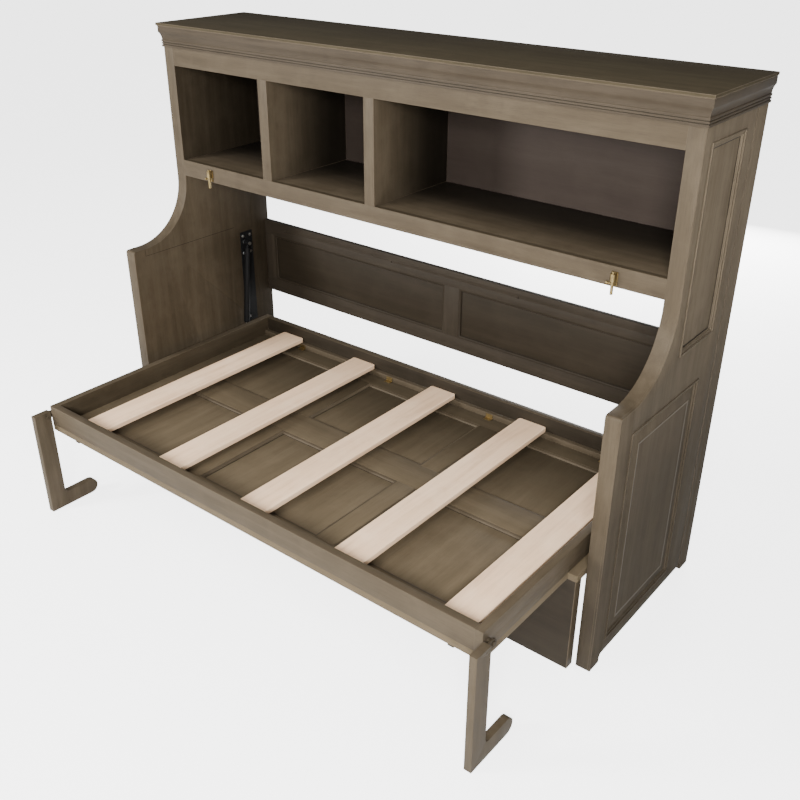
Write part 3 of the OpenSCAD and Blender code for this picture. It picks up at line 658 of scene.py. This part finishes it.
def screw_heads(name, body, spots, normal, radius, material):
    """Low domed heads, each dimpled at the top, in one mesh for the whole group."""
    bm = bmesh.new()
    turn = normal.to_track_quat("Z", "Y").to_matrix().to_4x4()
    rise = HEAD_RISE * radius
    angles = [2 * math.pi * k / HEAD_SIDES for k in range(HEAD_SIDES)]
    for spot in spots:
        loops = []
        for r in range(HEAD_RINGS):
            t = math.pi / 2 * r / HEAD_RINGS
            wide, high = radius * math.cos(t), rise * math.sin(t)
            loops.append([bm.verts.new((wide * math.cos(a), wide * math.sin(a), high))
                          for a in angles])
        top = bm.verts.new((0, 0, rise * DIMPLE))
        for low, high in zip(loops, loops[1:]):
            for k in range(HEAD_SIDES):
                after = (k + 1) % HEAD_SIDES
                bm.faces.new([low[k], low[after], high[after], high[k]])
        for k in range(HEAD_SIDES):
            bm.faces.new([loops[-1][k], loops[-1][(k + 1) % HEAD_SIDES], top])
        fresh = [v for loop in loops for v in loop] + [top]
        bmesh.ops.transform(bm, matrix=turn, verts=fresh)
        bmesh.ops.translate(bm, vec=spot, verts=fresh)
    piece = object_from(bm, name, [material])
    smooth_curves(piece, angle=50)
    return show(piece, body)


def bracket_screws():
    """Two screws in each leaf of each corner bracket."""
    from_end, from_front, from_foot = 8 * MM, 6 * MM, 11 * MM
    leaf_thickness = 2 * MM
    flat, wall = [], []
    for low, high in islands("corner_brackets"):
        for x in (low.x + from_end, high.x - from_end):
            flat.append(Vector((x, low.y + from_front, low.z + leaf_thickness)))
            wall.append(Vector((x, high.y - leaf_thickness, low.z + from_foot)))
    screw_heads("bracket_screws_flat", "bed", flat, Z, HEAD_RADIUS, OLD_BRASS)
    screw_heads("bracket_screws_wall", "bed", wall, -Y, HEAD_RADIUS, OLD_BRASS)


bracket_screws()


# ---------------------------------------------------------------- floor, light and camera

FLOOR_HALF = 30
FLOOR_GLOW, FLOOR_GLOW_SEEN = 0.25, 3.2
AMBIENT, BACKDROP = 0.25, 4.0
WHITE = (1.0, 1.0, 1.0, 1.0)

# Where each soft light stands and what it points at, its size in metres and its power in watts.
LIGHTS = {
    "right_key": ((2.7, -3.5, 2.7), (0.2, 0, 0.8), (1.2, 1.0), 350),
    "left_key": ((-3.0, -4.2, 2.3), (-0.2, 0, 0.8), (1.2, 1.0), 330),
    "overhead": ((0.0, -3.8, 5.6), (0, -2.0, 0.0), (4.5, 3.0), 240),
    "back_wash": ((-0.8, 4.6, 0.9), (-0.2, 0, 0.9), (2.4, 1.2), 240),
}


def floor():
    """A pale floor with a faint glow, which is stronger as the camera sees it."""
    bm = bmesh.new()
    bmesh.ops.create_grid(bm, x_segments=1, y_segments=1, size=FLOOR_HALF)
    s = Shader("pale_floor")
    tone = s.ramp(s.noise(s.place, 1.5, 3), [(0.3, 0.86), (0.7, 0.88)])
    s.finish(tone, s.span(s.noise(s.place, 4, 3), 0.55, 0.65))
    s.bsdf.inputs["Emission Color"].default_value = WHITE
    seen = s.add("ShaderNodeLightPath").outputs["Is Camera Ray"]
    s.join(s.span(seen, FLOOR_GLOW, FLOOR_GLOW_SEEN), s.bsdf.inputs["Emission Strength"])
    object_from(bm, "floor", [s.material])


def soft_light(name, place, aim, size, power):
    light = bpy.data.lights.new(name, "AREA")
    light.shape = "RECTANGLE"
    light.size, light.size_y = size
    light.energy = power
    lamp = bpy.data.objects.new(name, light)
    lamp.location = place
    lamp.rotation_euler = (Vector(aim) - Vector(place)).to_track_quat("-Z", "Y").to_euler()
    lamp.visible_camera = False
    bpy.context.scene.collection.objects.link(lamp)


def studio_world():
    """Dim light from all round, with a pale backdrop where the camera sees past the floor."""
    world = bpy.data.worlds.new("studio")
    world.use_nodes = True
    nodes, links = world.node_tree.nodes, world.node_tree.links
    around = nodes["Background"]
    backdrop = nodes.new("ShaderNodeBackground")
    for background, strength in ((around, AMBIENT), (backdrop, BACKDROP)):
        background.inputs["Color"].default_value = WHITE
        background.inputs["Strength"].default_value = strength
    path = nodes.new("ShaderNodeLightPath")
    either = nodes.new("ShaderNodeMixShader")
    links.new(path.outputs["Is Camera Ray"], either.inputs[0])
    links.new(around.outputs[0], either.inputs[1])
    links.new(backdrop.outputs[0], either.inputs[2])
    links.new(either.outputs[0], nodes["World Output"].inputs["Surface"])
    bpy.context.scene.world = world


def photo_camera():
    """The camera at the photo's angle, as fitted to the cabinet's straight edges."""
    data = bpy.data.cameras.new("camera")
    data.sensor_width = 36
    data.lens = 43.17
    camera = bpy.data.objects.new("camera", data)
    camera.location = (2.0175, -2.2101, 2.1751)
    camera.rotation_euler = Euler([math.radians(a) for a in (61.74, -0.205, 38.882)])
    bpy.context.scene.collection.objects.link(camera)
    bpy.context.scene.camera = camera


floor()
for name, settings in LIGHTS.items():
    soft_light(name, *settings)
studio_world()
photo_camera()
